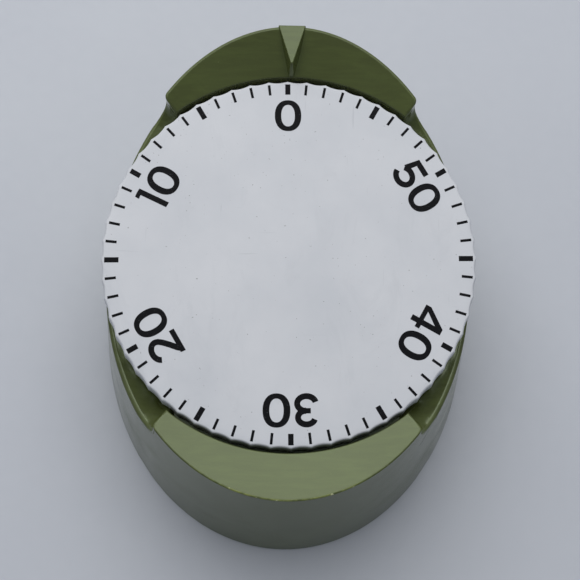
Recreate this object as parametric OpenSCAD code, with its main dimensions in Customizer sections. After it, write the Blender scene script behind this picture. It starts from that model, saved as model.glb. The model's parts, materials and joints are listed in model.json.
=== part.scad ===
// Sixty-minute wind-up interval timer with an oval flared case and a sloping round dial.
// Millimetres, +Z up. The origin is on the table under the middle of the case, and the front is -Y.
// Everything that isn't part of the base is placed in the dial frame: its origin is the middle of
// the dial's face, its Z is the dial's axis and its X is the case's X.

/* [Case] */
// Half the width of the case at the table
case_half_w = 44.6; // [42:0.1:48]
// Half the length of the case at the table
case_half_l = 56.7; // [54:0.1:60]
// How much each side leans in for each millimetre of height
side_draft = 0.113; // [0.08:0.001:0.12]
// How much each end leans in for each millimetre of height
end_draft = 0.121; // [0.08:0.001:0.13]
// Wall thickness of the moulded case
case_wall = 2.4; // [1.8:0.1:2.8]
// Height of the middle of the dial's face above the table
dial_height = 43.9; // [43:0.1:48]
// Slope of the dial towards the front, in degrees
dial_slope = 10; // [8:0.5:12]
// Half the angle that each raised rim spans, in degrees
rim_half_angle = 37.9; // [32:0.1:42]
// Slope of the raised rims and of the side shelves down to the dial, in degrees
rim_slope = 22.5; // [12:0.5:26]

/* [Dial] */
// Radius to the crests of the dial's finger flutes
dial_r = 40.7; // [39:0.1:40.9]
// Number of finger flutes, one for each minute
flutes = 60; // [48:12:60]
// Depth of a flute
flute_depth = 0.35; // [0.2:0.05:0.6]
// Depth of the dial's skirt
skirt_depth = 6; // [5:0.1:6.2]

/* [Movement] */
// Teeth on the great wheel
great_teeth = 60; // [60:1:60]
// Teeth on the second wheel
second_teeth = 56; // [56:1:56]
// Teeth on the third wheel
third_teeth = 54; // [54:1:54]
// Leaves on each pinion
leaves = 10; // [10:1:10]
// Teeth on the escape wheel
escape_teeth = 15; // [15:1:15]
// Thickness of the two movement plates
plate_t = 1.2; // [1:0.1:1.4]

/* [Hidden] */

$fn = 64;
eps = 0.01;
running = 0.05;        // radial clearance of a running fit
far = 120;             // reaches past the whole case

// Case
olive = "#6b7343";
dial_y = -0.7;         // the middle of the dial's face lies just in front of the case's middle
case_points = 120;
body_h = 64;
deck_z = -7.5;         // top of the deck under the dial; the side shelves rise outwards from it
deck_t = 2.5;
well_r = 41.6;
rim_z = 0;             // height of a raised rim's inner edge over the dial's face
rim_wall = 2.4;
hub_hole_r = 6.4;
boss_r = 3.2;
boss_h = 3;
boss_spots = [[0, 27], [-28, 10], [25, -14]];
post_spots = [[25.5, 36], [-25.5, 36], [25.5, -36], [-25.5, -36]];
post_r = 3.2;
post_top = 7.2;
cover_z = 1.1;
cover_t = 1.2;
cover_gap = 0.6;
cover_slots = 5;
cover_slot_pitch = 7;
cover_slot_r = 1.2;    // half the width of a sound slot in the base cover
cover_slot_reach = 9;  // from a slot's middle to the centre of its round end
cover_slot_y = 6;
base_screw_r = 1;
base_head_r = 2.5;
base_head_h = 0.9;
driver_slot = 0.6;     // width of every screw's driver slot
screw_r = 1.2;         // clearance hole for a screw of radius 1
thread_gap = 0.05;     // between a screw and the hole that it is driven into

// Pointer moulded on the back rim
pointer_out_y = 51.2;
pointer_tip_y = 43.2;
pointer_foot_y = 41.7;
pointer_half_w = 3;
pointer_tip_half_w = 0.3;
pointer_flank = 0.75;  // how far each flank leans out by its foot
pointer_foot_drop = 0.2; // the wedge's foot lies this far under the rim's inner edge
pointer_z = 4.4;

// Dial
face_t = 2.2;
skirt_wall = 2.6;
skirt_flare = 0.5;     // how far the skirt's foot stands out past its top
dial_zero = 91.1;      // azimuth of the dial's zero at rest, a little past the pointer
hub_r = 5;
hub_end_z = -9.7;
arbor_r = 3;
arbor_flat = 2.2;      // distance from the axis to the flat on the arbor's D
arbor_top_z = -2.6;
arbor_round_z = -12.8; // the arbor is round below this, where it runs in the front plate
arbor_shoulder_z = -27.4;
arbor_foot_r = 1.5;
clip_z = -8.9;
rib_count = 6;

// Movement plates, from the front plate's top face down
front_z = deck_z - deck_t - boss_h;
plate_gap = 15.6;
back_z = front_z - plate_t - plate_gap;
plate_x = 33;
plate_front = -36;
plate_back = 31;
plate_corner = 12;
pillar_spots = [[27, 25], [-27, 25], [27, -25], [-29, -24]];
pillar_r = 2.2;
pillar_tenon_r = 1.45;
pivot_r = 0.75;
staff_r = 1.2;         // radius of an arbor between the plates
shake = 0.2;           // end play of an arbor between the plates

// Gear train: involute teeth with a steep pressure angle and short tips, so ten leaves don't undercut
pressure = 25;
addendum = 0.8;
dedendum = 1.05;
backlash = 0.05;
great_m = 0.7;
second_m = 0.5;
third_m = 0.45;
great_to_second = great_m * (great_teeth + leaves) / 2;
second_to_third = second_m * (second_teeth + leaves) / 2;
third_to_escape = third_m * (third_teeth + leaves) / 2;
third_reach = 25.5;    // distance of the third arbor from the main arbor
escape_reach = 26;
second_az = 200;
third_az = second_az + corner_angle(great_to_second, third_reach, second_to_third);
escape_az = third_az + corner_angle(third_reach, escape_reach, third_to_escape);
second_at = polar(great_to_second, second_az);
third_at = polar(third_reach, third_az);
escape_at = polar(escape_reach, escape_az);

// Escapement
escape_r = 8;
escape_root_r = 5.6;
pallet_span = 42;      // each pin stands this far round from the line to the pallet's arbor
pin_r = 0.4;
pin_gap = 0.12;
pin_orbit = escape_r + pin_r + pin_gap;
pallet_gap = pin_orbit / cos(pallet_span);
pallet_az = escape_az + corner_angle(escape_reach, escape_reach, pallet_gap);
pallet_at = polar(escape_reach, pallet_az);
pallet_dir = direction(escape_at, pallet_at);
bar_reach = 7.4;
weight_r = 2;

// Heights in the dial frame, each the top of its piece
cam_z = -15;
third_wheel_z = -16.7;
spring_top_z = -18;
spring_h = 5;
escape_wheel_z = -19;
pallet_z = -21;
bar_z = -22.2;
ratchet_z = -24;
great_z = -25.4;
second_wheel_z = -28;

// Strike cam, stop and hammer
cam_r = 9;
cam_t = 1;
stop_orbit = 11.6;
stop_pin_r = 0.5;
stop_pin_az = 140;
stop_half_angle = 4.008; // half of what the lug and the pin take out of a full turn
lug_half_w = 0.28;
lug_reach = 12.3;
lug_t = 0.6;           // the lug runs under the cam, so that it passes below the hammer's tail
tail_t = 0.8;
tail_half_w = 0.8;
elbow_r = 1;
finger_half_w = 0.5;
hammer_at = [25.5, 4];
elbow_at = [1.4, 14.5]; // the tail's bar ends here and its finger turns in towards the cam
nose_at = [1.4, 9.7];  // end of the finger, drawn clear of the cam
nose_r = 0.6;
notch_az = 82;
notch_half = 23;
notch_floor = 0.85;    // share of the notch's angle that its floor spans
notch_r = 5.1;
arm_length = 13;
arm_az = 87.4;
head_r = 2.5;
head_at = hammer_at + polar(arm_length, arm_az);
arm_z = -34.4;

// Bell under the back plate
bell_at = [2, 8];
bell_top_z = -32.6;
bell_r = 21;
bell_wall = 1;
bell_hole_r = 1.7;

// Ratchet and click
ratchet_teeth = 16;
ratchet_r = 6.5;
ratchet_root_r = 5.3;
click_orbit = 10.5;
click_az = 48;
click_boss_r = 1.7;
click_pin_r = 0.8;
click_spring_at = polar(15, 24);
click_spring_run = 5.2;

// Mainspring
spring_inner_r = 3.4;
spring_outer_r = 12;
spring_t = 0.35;
spring_turns = 6;
spring_steps = 20;     // points in each turn

function polar(r, a) = [r * cos(a), r * sin(a)];
function direction(p, q) = atan2(q[1] - p[1], q[0] - p[0]);
// The angle at the main arbor between two arbors p and q away from it that stand c apart
function corner_angle(p, q, c) = acos((p * p + q * q - c * c) / (2 * p * q));
// The involute function, in degrees
function inv(a) = tan(a) * 180 / PI - a;
function ellipse(a, b, n) = [for (i = [0:n - 1]) [a * cos(360 * i / n), b * sin(360 * i / n)]];
// Height of the raised rims' top surface at radius r from the dial's axis
function rim_top(r) = rim_z + (r - well_r) * tan(rim_slope);

module in_dial_frame() {
    translate([0, dial_y, dial_height]) rotate([dial_slope, 0, 0]) children();
}

// A plain disc or rod standing down from z_top
module rod(r, z_top, length) {
    translate([0, 0, z_top - length]) cylinder(r = r, h = length);
}

module at(p) {
    translate([p[0], p[1], 0]) children();
}

// ---- Case ----

module tapered_oval(inset, h) {
    a = case_half_w - inset;
    b = case_half_l - inset;
    linear_extrude(height = h, scale = [(a - side_draft * h) / a, (b - end_draft * h) / b], slices = 1)
        polygon(ellipse(a, b, case_points));
}

// A sector of the dial frame about the Y axis, at both the front and the back
module rim_sectors(half_angle, z0, z1) {
    reach = far / cos(half_angle);
    for (turn = [0, 180])
        rotate([0, 0, turn]) translate([0, 0, z0]) linear_extrude(height = z1 - z0)
            polygon([[0, 0], polar(reach, 90 - half_angle), polar(reach, 90 + half_angle)]);
}

// Everything above the deck that isn't a raised rim
module over_deck() {
    translate([0, 0, deck_z]) cylinder(r = well_r, h = far, $fn = 128);
    rotate_extrude($fn = 128)
        polygon([[well_r - 1, rim_top(well_r - 1)], [far, rim_top(far)], [far, far], [well_r - 1, far]]);
    difference() {
        rotate_extrude($fn = 128) polygon([
            [0, deck_z], [well_r, deck_z], [far, deck_z + (far - well_r) * tan(rim_slope)], [far, far], [0, far]
        ]);
        rim_sectors(rim_half_angle, deck_z - 1, far + 1);
    }
}

// The inside of the case, up to the deck and up into the raised rims
module cavity() {
    translate([0, 0, -1]) intersection() {
        translate([0, 0, 1 - eps]) tapered_oval(case_wall, body_h - 4);
        translate([0, 0, 1]) in_dial_frame() {
            translate([-far, -far, deck_z - deck_t - far]) cube([2 * far, 2 * far, far]);
            intersection() {
                rotate_extrude($fn = 128) polygon([
                    [well_r + rim_wall, deck_z - deck_t - 1],
                    [far / 2, deck_z - deck_t - 1],
                    [far / 2, rim_top(far / 2) - rim_wall],
                    [well_r + rim_wall, rim_top(well_r + rim_wall) - rim_wall]
                ]);
                rim_sectors(rim_half_angle - 4, deck_z - deck_t - 2, far / 2);
            }
        }
    }
}

module pointer() {
    foot_z = rim_z - pointer_foot_drop;
    lean = pointer_flank;
    hull() {
        translate([0, 0, pointer_z - 0.1]) linear_extrude(height = 0.1) polygon([
            [-pointer_half_w, pointer_out_y + 6], [pointer_half_w, pointer_out_y + 6],
            [pointer_half_w, pointer_out_y], [pointer_tip_half_w, pointer_tip_y],
            [-pointer_tip_half_w, pointer_tip_y], [-pointer_half_w, pointer_out_y]
        ]);
        translate([0, 0, foot_z]) linear_extrude(height = 0.1) polygon([
            [-pointer_half_w - lean, pointer_out_y + 6], [pointer_half_w + lean, pointer_out_y + 6],
            [pointer_half_w + lean, pointer_out_y], [pointer_tip_half_w + lean, pointer_foot_y],
            [-pointer_tip_half_w - lean, pointer_foot_y], [-pointer_half_w - lean, pointer_out_y]
        ]);
    }
}

module casing() {
    color(olive) difference() {
        union() {
            difference() {
                tapered_oval(0, body_h);
                in_dial_frame() over_deck();
                cavity();
            }
            intersection() {
                tapered_oval(0, body_h);
                in_dial_frame() pointer();
            }
            in_dial_frame() for (p = boss_spots) at(p) rod(boss_r, deck_z - eps, deck_t + boss_h - eps);
            intersection() {
                tapered_oval(1, body_h);
                for (p = post_spots) translate([p[0], p[1], cover_z + cover_t]) {
                    cylinder(r = post_r, h = post_top - cover_z - cover_t);
                    rotate([0, 0, atan2(p[1], p[0])]) translate([0, -1, 0])
                        cube([far / 2, 2, post_top - cover_z - cover_t]);
                }
            }
        }
        in_dial_frame() rod(hub_hole_r, deck_z + 1, deck_t + 2);
        in_dial_frame() for (p = boss_spots) at(p) rod(1 + thread_gap, front_z + boss_h + 0.5, boss_h + 1);
        for (p = post_spots) at(p) cylinder(r = base_screw_r + thread_gap, h = post_top - 0.6);
    }
}

module base_cover() {
    color("#8d9094") translate([0, 0, cover_z]) difference() {
        a = case_half_w - case_wall - cover_gap;
        b = case_half_l - case_wall - cover_gap;
        linear_extrude(height = cover_t) polygon(ellipse(a, b, case_points));
        for (p = post_spots) translate([p[0], p[1], -1]) cylinder(r = base_screw_r + 0.3, h = cover_t + 2);
        for (i = [0:cover_slots - 1])
            translate([(i - (cover_slots - 1) / 2) * cover_slot_pitch, cover_slot_y, -1]) {
                translate([-cover_slot_r, -cover_slot_reach, 0])
                    cube([2 * cover_slot_r, 2 * cover_slot_reach, cover_t + 2]);
                for (y = [-cover_slot_reach, cover_slot_reach])
                    translate([0, y, 0]) cylinder(r = cover_slot_r, h = cover_t + 2);
            }
    }
}

module base_screws() {
    color("silver") for (p = post_spots) at(p) {
        translate([0, 0, cover_z - base_head_h]) difference() {
            cylinder(r = base_head_r, h = base_head_h);
            translate([-base_head_r - 1, -driver_slot / 2, -1])
                cube([2 * base_head_r + 2, driver_slot, 1 + base_head_h / 2]);
        }
        translate([0, 0, cover_z]) cylinder(r = base_screw_r, h = 5);
    }
}

// ---- Dial ----

// Plan outline of the fluted dial: each flute is a shallow hollow between two crests
function fluted(r, depth, n, steps) = [
    for (i = [0:n - 1], k = [0:steps - 1])
        polar(r - depth * (1 - pow(2 * k / steps - 1, 2)), dial_zero + 360 * (i + k / steps) / n)
];

// A solid with the arbor's D section
module d_rod(r, z_top, length) {
    intersection() {
        rod(r, z_top, length);
        translate([-r - 1, -r - 1, z_top - length - 1])
            cube([r + 1 + arbor_flat + (r - arbor_r), 2 * r + 2, length + 2]);
    }
}

module dial() {
    foot_r = dial_r + skirt_flare;
    color("#e4e6e8") in_dial_frame() difference() {
        union() {
            difference() {
                translate([0, 0, -skirt_depth])
                    linear_extrude(height = skirt_depth, scale = dial_r / foot_r, slices = 1)
                        polygon(fluted(foot_r, flute_depth, flutes, 4));
                rod(dial_r - skirt_wall, -face_t, skirt_depth);
            }
            rod(hub_r, -1, -1 - hub_end_z);
            for (i = [0:rib_count - 1]) rotate([0, 0, 360 * (i + 0.5) / rib_count])
                translate([hub_r - 1, -0.6, -face_t - 2]) cube([dial_r - skirt_wall - hub_r + 1.5, 1.2, 2.5]);
        }
        d_rod(arbor_r + 0.03, arbor_top_z + 0.1, 20);
    }
}

module dial_clip() {
    color("dimgray") in_dial_frame() difference() {
        rod(hub_r + 0.6, clip_z + 0.8, 0.8);
        rod(hub_r + 0.02, clip_z + 1, 1.2);
        translate([3, -1.5, clip_z - 1]) cube([4, 3, 3]);
    }
}

// ---- Shared movement shapes ----

module plate_blank() {
    x = plate_x - plate_corner;
    length = plate_back - plate_front;
    linear_extrude(height = plate_t) {
        translate([-x, plate_front]) square([2 * x, length]);
        translate([-plate_x, plate_front + plate_corner]) square([2 * plate_x, length - 2 * plate_corner]);
        for (sx = [-x, x], y = [plate_front + plate_corner, plate_back - plate_corner])
            translate([sx, y]) circle(r = plate_corner);
    }
}

module hole(p, r) {
    at(p) translate([0, 0, -1]) cylinder(r = r, h = plate_t + 2);
}

module pivot_holes() {
    for (p = [second_at, third_at, escape_at, pallet_at]) hole(p, pivot_r + running);
}

// Half the angle of a tooth at radius r
function tooth_half(m, n, r) =
    let (rp = m * n / 2, rb = rp * cos(pressure))
    90 / n - backlash / rp * 90 / PI + inv(pressure) - (r > rb ? inv(acos(rb / r)) : 0);

function gear_outline(m, n) =
    let (rp = m * n / 2, root = rp - dedendum * m, tip = rp + addendum * m)
    let (start = max(root, rp * cos(pressure)), middle = (start + tip) / 2)
    let (radii = [root, start, middle, tip])
    [for (i = [0:n - 1]) each concat(
        [for (k = [0:3]) polar(radii[k], 360 * i / n - tooth_half(m, n, radii[k]))],
        [for (k = [3:-1:0]) polar(radii[k], 360 * i / n + tooth_half(m, n, radii[k]))]
    )];

// A gear whose tooth points along the angle "tooth_at"
module gear(m, n, z_top, t, tooth_at) {
    translate([0, 0, z_top - t]) rotate([0, 0, tooth_at])
        linear_extrude(height = t) polygon(gear_outline(m, n));
}

// Windows between the spokes of a wheel
module spoke_windows(r_in, r_out, z_top, t, count, spoke) {
    for (i = [0:count - 1]) rotate([0, 0, 360 * i / count]) intersection() {
        difference() {
            rod(r_out, z_top + 1, t + 2);
            rod(r_in, z_top + 2, t + 4);
        }
        translate([spoke / 2, spoke / 2, z_top - t - 2]) cube([far, far, t + 4]);
    }
}

// An arbor with a pivot in each plate
module staff(r) {
    top = front_z - plate_t - shake;
    bottom = back_z + shake;
    rod(r, top, top - bottom);
    rod(pivot_r, front_z + 0.3, front_z + 0.3 - top + eps);
    rod(pivot_r, bottom + eps, bottom - back_z + plate_t + 0.3 + eps);
}

// ---- Movement frame ----

module front_plate() {
    color("#b9a66a") in_dial_frame() translate([0, 0, front_z - plate_t]) difference() {
        plate_blank();
        hole([0, 0], arbor_r + running);
        pivot_holes();
        hole(hammer_at, pivot_r + running);
        hole(polar(stop_orbit, stop_pin_az), stop_pin_r);
        for (p = pillar_spots) hole(p, pillar_tenon_r);
        for (p = boss_spots) hole(p, screw_r);
    }
}

module back_plate() {
    color("#b9a66a") in_dial_frame() translate([0, 0, back_z - plate_t]) difference() {
        plate_blank();
        hole([0, 0], arbor_foot_r + running);
        pivot_holes();
        hole(hammer_at, staff_r + running);
        hole(bell_at, 1.2);
        for (p = pillar_spots) hole(p, screw_r);
    }
}

module pillars() {
    color("#a9abad") in_dial_frame() for (p = pillar_spots) at(p) difference() {
        union() {
            rod(pillar_r, front_z - plate_t, plate_gap);
            rod(pillar_tenon_r, front_z + 0.3, plate_t + 0.4);
        }
        rod(0.95, back_z + 6, 6.5);
    }
}

// A slotted pan-head screw whose shank points up, with the underside of its head at z
module screw_up(z, shank_r, length, head_radius, head_h) {
    rod(shank_r, z + length, length + eps);
    difference() {
        rod(head_radius, z, head_h);
        translate([-head_radius - 1, -driver_slot / 2, z - head_h - 1])
            cube([2 * head_radius + 2, driver_slot, 1.5]);
    }
}

module pillar_screws() {
    color("silver") in_dial_frame() for (p = pillar_spots) at(p) screw_up(back_z - plate_t, 0.9, 6, 2, 1.2);
}

module movement_screws() {
    color("silver") in_dial_frame() for (p = boss_spots) at(p) screw_up(front_z - plate_t, 1, 4, 2.2, 1.3);
}

module stop_pin() {
    color("silver") in_dial_frame() at(polar(stop_orbit, stop_pin_az))
        rod(stop_pin_r, front_z + 0.2, plate_t + 2.9);
}

// ---- Main arbor ----

module main_arbor() {
    color("silver") in_dial_frame() {
        d_rod(arbor_r, arbor_top_z, arbor_top_z - arbor_round_z);
        rod(arbor_r, arbor_round_z + eps, arbor_round_z + eps - arbor_shoulder_z);
        rod(arbor_foot_r, arbor_shoulder_z + eps, arbor_shoulder_z + eps - back_z + plate_t + 0.4);
    }
}

module strike_cam() {
    lug_az = stop_pin_az - stop_half_angle;
    color("#b08d3c") in_dial_frame() difference() {
        union() {
            difference() {
                rod(cam_r, cam_z, cam_t);
                translate([0, 0, cam_z - cam_t - 1]) linear_extrude(height = cam_t + 2) polygon([
                    polar(notch_r, notch_az - notch_half * notch_floor),
                    polar(notch_r, notch_az + notch_half * notch_floor),
                    polar(cam_r + 2, notch_az + notch_half), polar(cam_r + 4, notch_az),
                    polar(cam_r + 2, notch_az - notch_half)
                ]);
            }
            rod(hub_r, cam_z, cam_t + 0.8);
            rotate([0, 0, lug_az]) translate([hub_r - 1, -lug_half_w, cam_z - cam_t - lug_t])
                cube([lug_reach - hub_r + 1, 2 * lug_half_w, lug_t + eps]);
        }
        rod(arbor_r + 0.01, cam_z + 1, 4);
    }
}

module ratchet_wheel() {
    step = 360 / ratchet_teeth;
    color("#9fa2a5") in_dial_frame() difference() {
        translate([0, 0, ratchet_z - 1]) linear_extrude(height = 1) polygon([
            for (i = [0:ratchet_teeth - 1], k = [0, 1])
                k == 0 ? polar(ratchet_root_r, i * step) : polar(ratchet_r, (i + 1) * step - 0.2)
        ]);
        rod(arbor_r + 0.01, ratchet_z + 1, 3);
    }
}

// The spring's strip: out along one side of the spiral and back along the other
function spring_point(i, side) =
    let (turn = i / spring_steps, pitch = (spring_outer_r - spring_inner_r) / spring_turns)
    polar(spring_inner_r + pitch * turn + side * spring_t / 2, 360 * turn);

module mainspring() {
    last = spring_turns * spring_steps;
    anchor = pillar_spots[0];
    start = [spring_outer_r, 0];
    run = norm(anchor - start);
    color("#5f6872") in_dial_frame() {
        translate([0, 0, spring_top_z - spring_h]) linear_extrude(height = spring_h) {
            polygon(concat(
                [for (i = [0:last]) spring_point(i, -1)],
                [for (i = [last:-1:0]) spring_point(i, 1)]
            ));
            translate(start) rotate(direction(start, anchor))
                translate([-0.1, -spring_t / 2]) square([run - pillar_r - 0.2, spring_t]);
        }
        at(anchor) difference() {
            rod(pillar_r + 0.6, spring_top_z, spring_h);
            rod(pillar_r + 0.1, spring_top_z + 1, spring_h + 2);
        }
    }
}

// ---- Great wheel and its click ----

module great_wheel() {
    color("#c2a14a") in_dial_frame() difference() {
        gear(great_m, great_teeth, great_z, 1.2, second_az);
        rod(arbor_r + running, great_z + 1, 4);
        spoke_windows(13, 18.2, great_z, 1.2, 4, 3);
        at(polar(click_orbit, click_az)) rod(click_pin_r, great_z + 1, 4);
    }
}

module click_pivot() {
    color("silver") in_dial_frame() at(polar(click_orbit, click_az)) {
        rod(click_pin_r, ratchet_z + 0.3, 2.9);
        rod(click_pin_r + 0.7, ratchet_z + 0.8, 0.6);
    }
}

module click() {
    color("#9fa2a5") in_dial_frame() difference() {
        union() {
            translate([0, 0, ratchet_z - 1]) linear_extrude(height = 1) polygon([
                polar(5.5, 1.5), polar(6.3, 9), polar(7, 22), polar(8.9, 42),
                polar(click_orbit + click_boss_r * 0.7, click_az),
                polar(9.3, 25), polar(7.3, 4), polar(6.6, 1.5)
            ]);
            at(polar(click_orbit, click_az)) rod(click_boss_r, ratchet_z, 1);
        }
        at(polar(click_orbit, click_az)) rod(click_pin_r + running, ratchet_z + 1, 3);
    }
}

module click_spring() {
    color("#5f6872") in_dial_frame() {
        at(click_spring_at) rod(1, ratchet_z, 1.4);
        at(click_spring_at) translate([-click_spring_run, -0.15, ratchet_z - 0.8])
            cube([click_spring_run, 0.3, 0.8]);
    }
}

// ---- Train ----

module second_pinion() {
    color("silver") in_dial_frame() at(second_at) {
        staff(staff_r);
        gear(great_m, leaves, great_z + 0.6, 2.4, second_az + 180 + 180 / leaves);
    }
}

module second_wheel() {
    color("#c2a14a") in_dial_frame() at(second_at) difference() {
        gear(second_m, second_teeth, second_wheel_z, 0.8, direction(second_at, third_at));
        rod(staff_r + 0.01, second_wheel_z + 1, 3);
        spoke_windows(3.5, 11.2, second_wheel_z, 0.8, 4, 2);
    }
}

module third_pinion() {
    color("silver") in_dial_frame() at(third_at) {
        staff(staff_r);
        gear(second_m, leaves, second_wheel_z + 0.5, 1.8, direction(third_at, second_at) + 180 / leaves);
    }
}

module third_wheel() {
    color("#c2a14a") in_dial_frame() at(third_at) difference() {
        gear(third_m, third_teeth, third_wheel_z, 0.8, direction(third_at, escape_at));
        rod(staff_r + 0.01, third_wheel_z + 1, 3);
        spoke_windows(3.2, 9.8, third_wheel_z, 0.8, 4, 2);
    }
}

module escape_pinion() {
    color("silver") in_dial_frame() at(escape_at) {
        staff(staff_r);
        gear(third_m, leaves, third_wheel_z + 0.5, 1.8, direction(escape_at, third_at) + 180 / leaves);
    }
}

module escape_wheel() {
    step = 360 / escape_teeth;
    first = pallet_dir + pallet_span - step / 4;
    color("#c2a14a") in_dial_frame() at(escape_at) difference() {
        translate([0, 0, escape_wheel_z - 1]) linear_extrude(height = 1) polygon([
            for (i = [0:escape_teeth - 1]) each [
                polar(escape_root_r, first + i * step - 5), polar(escape_r, first + i * step - 0.8),
                polar(escape_r, first + i * step + 0.8), polar(escape_root_r, first + i * step + 5)
            ]
        ]);
        rod(staff_r + 0.01, escape_wheel_z + 1, 3);
        for (i = [0:4]) at(polar(3.4, i * 72)) rod(1, escape_wheel_z + 1, 3);
    }
}

// ---- Pallet and inertia bar ----

function pallet_pin(side) = escape_at + polar(pin_orbit, pallet_dir + side * pallet_span);

module pallet_arbor() {
    color("silver") in_dial_frame() at(pallet_at) staff(0.9);
}

module pallet() {
    color("#9fa2a5") in_dial_frame() difference() {
        union() {
            at(pallet_at) rod(2, pallet_z, 0.8);
            for (side = [-1, 1]) {
                pin = pallet_pin(side);
                at(pin) rod(0.9, pallet_z, 0.8);
                at(pallet_at) rotate([0, 0, direction(pallet_at, pin)])
                    translate([0, -0.8, pallet_z - 0.8]) cube([norm(pin - pallet_at), 1.6, 0.8]);
            }
        }
        at(pallet_at) rod(0.91, pallet_z + 1, 3);
        for (side = [-1, 1]) at(pallet_pin(side)) rod(pin_r, pallet_z + 1, 3);
    }
}

module pallet_pins() {
    color("silver") in_dial_frame() for (side = [-1, 1]) at(pallet_pin(side))
        rod(pin_r, escape_wheel_z + 0.4, 3.2);
}

module inertia_bar() {
    color("#c2a14a") in_dial_frame() at(pallet_at) rotate([0, 0, pallet_dir + 90]) difference() {
        union() {
            rod(2.2, bar_z, 1.2);
            translate([-bar_reach, -1, bar_z - 1.2]) cube([2 * bar_reach, 2, 1.2]);
            for (s = [-1, 1]) at([s * bar_reach, 0]) rod(weight_r, bar_z, 1.2);
        }
        rod(0.91, bar_z + 1, 3);
    }
}

// ---- Hammer ----

module hammer_arbor() {
    top = front_z - plate_t - shake;
    color("silver") in_dial_frame() at(hammer_at) {
        rod(staff_r, top, top - arm_z + 1.6);
        rod(pivot_r, front_z + 0.3, front_z + 0.3 - top + eps);
    }
}

// A flat bar of the hammer's tail from p to q
module tail_bar(p, q, half_w) {
    at(p) rotate([0, 0, direction(p, q)]) translate([0, -half_w, cam_z - tail_t])
        cube([norm(q - p), 2 * half_w, tail_t]);
}

module hammer_tail() {
    color("#9fa2a5") in_dial_frame() difference() {
        union() {
            at(hammer_at) rod(2.4, cam_z, tail_t);
            tail_bar(hammer_at, elbow_at, tail_half_w);
            at(elbow_at) rod(elbow_r, cam_z, tail_t);
            tail_bar(elbow_at, nose_at, finger_half_w);
            at(nose_at) rod(nose_r, cam_z, tail_t);
        }
        at(hammer_at) rod(staff_r + 0.01, cam_z + 1, 3);
    }
}

module hammer_arm() {
    color("#9fa2a5") in_dial_frame() at(hammer_at) rotate([0, 0, arm_az]) difference() {
        union() {
            rod(2.2, arm_z, 1);
            translate([0, -0.8, arm_z - 1]) cube([arm_length - head_r + 0.3, 1.6, 1]);
        }
        rod(staff_r + 0.01, arm_z + 1, 3);
    }
}

module hammer_head() {
    color("#c2a14a") in_dial_frame() at(head_at) difference() {
        rod(head_r, arm_z + 1, 3.4);
        rotate([0, 0, arm_az + 180]) translate([head_r - 0.75, -0.82, arm_z - 1.01]) cube([2, 1.64, 1.02]);
    }
}

module hammer_spring() {
    anchor = pillar_spots[0];
    tail_dir = direction(hammer_at, elbow_at);
    touch = hammer_at + polar(13, tail_dir) + polar(tail_half_w + 0.4, tail_dir - 90);
    color("#5f6872") in_dial_frame() {
        at(anchor) rotate([0, 0, direction(anchor, touch)])
            translate([pillar_r + 0.2, -0.15, cam_z - tail_t])
            cube([norm(touch - anchor) - pillar_r - 0.2, 0.3, tail_t]);
        at(anchor) difference() {
            rod(pillar_r + 0.6, cam_z, tail_t);
            rod(pillar_r + 0.1, cam_z + 1, 3);
        }
    }
}

// ---- Bell ----

module bell_post() {
    color("silver") in_dial_frame() at(bell_at) difference() {
        union() {
            rod(2.4, back_z - plate_t, back_z - plate_t - bell_top_z);
            rod(1.2, back_z + 0.3, plate_t + 0.4);
        }
        rod(0.95, back_z - 1, 4);
    }
}

module bell() {
    color("#b9bcc0") in_dial_frame() at(bell_at) rotate_extrude($fn = 96) polygon([
        [bell_hole_r, bell_top_z], [12, bell_top_z],
        [17.5, bell_top_z - 1.4], [bell_r - 0.5, bell_top_z - 3.6],
        [bell_r, bell_top_z - 5.4], [bell_r - bell_wall, bell_top_z - 5.4],
        [bell_r - bell_wall - 0.5, bell_top_z - 4.1], [16.8, bell_top_z - 2.3],
        [11.8, bell_top_z - bell_wall], [bell_hole_r, bell_top_z - bell_wall]
    ]);
}

module bell_screw() {
    color("silver") in_dial_frame() at(bell_at) screw_up(bell_top_z - bell_wall, 0.9, 2.8, 2.4, 1.2);
}

casing();
base_cover();
base_screws();
dial();
dial_clip();
main_arbor();
strike_cam();
ratchet_wheel();
great_wheel();
click_pivot();
click_spring();
click();
front_plate();
back_plate();
pillars();
pillar_screws();
movement_screws();
stop_pin();
mainspring();
second_pinion();
second_wheel();
third_pinion();
third_wheel();
escape_pinion();
escape_wheel();
pallet_arbor();
pallet();
pallet_pins();
inertia_bar();
hammer_arbor();
hammer_tail();
hammer_arm();
hammer_head();
hammer_spring();
bell_post();
bell();
bell_screw();
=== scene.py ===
"""Looks of the wind-up sixty-minute timer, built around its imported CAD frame.

Shapes are worked out in millimetres and turned into metres when their mesh is made. The case's foot and
posts, the floor and the lights are laid out in the row frame, and the rest in the dial frame: origin at the
middle of the dial's face, Z along the dial's axis.
"""

import json
import math

import bmesh
import bpy
from mathutils import Matrix, Vector
from mathutils.geometry import delaunay_2d_cdt


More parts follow.
